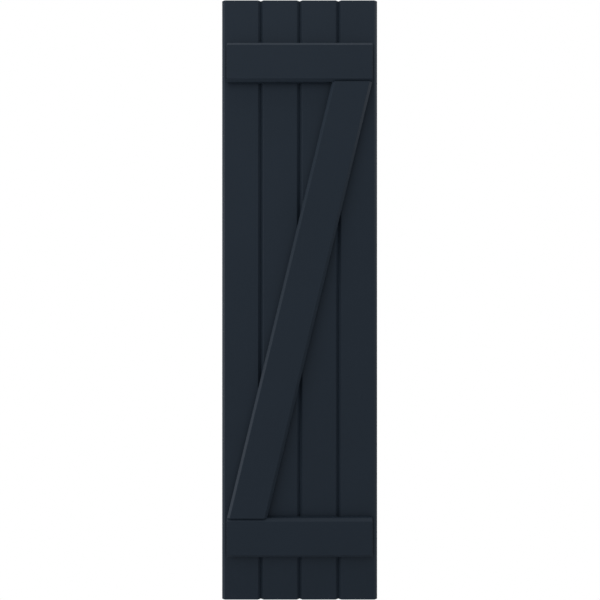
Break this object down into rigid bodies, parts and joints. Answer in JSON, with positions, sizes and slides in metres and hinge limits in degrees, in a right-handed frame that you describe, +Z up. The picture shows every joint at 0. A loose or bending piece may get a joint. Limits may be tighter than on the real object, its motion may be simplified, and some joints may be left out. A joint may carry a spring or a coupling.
{
  "type": "board and batten shutter",
  "caption": "Exterior window shutter of upright V-edged boards joined edge to edge, with cross battens and a diagonal brace on the front; fixed flat to a wall beside a window.",
  "frame": {"origin": "middle of the shutter's back, on the wall plane", "axes": "+Z up along the boards, +Y into the wall, +X to the right for someone facing the shutter"},
  "size_m": [0.3556, 0.0381, 1.3716],
  "materials": {
    "navy_paint": "satin",
    "screw_steel": "satin"
  },
  "bodies": {
    "root": {"board_1": "navy_paint", "board_2": "navy_paint", "board_3": "navy_paint", "board_4": "navy_paint", "top_batten": "navy_paint", "bottom_batten": "navy_paint", "diagonal_brace": "navy_paint"}
  },
  "joints": []
}
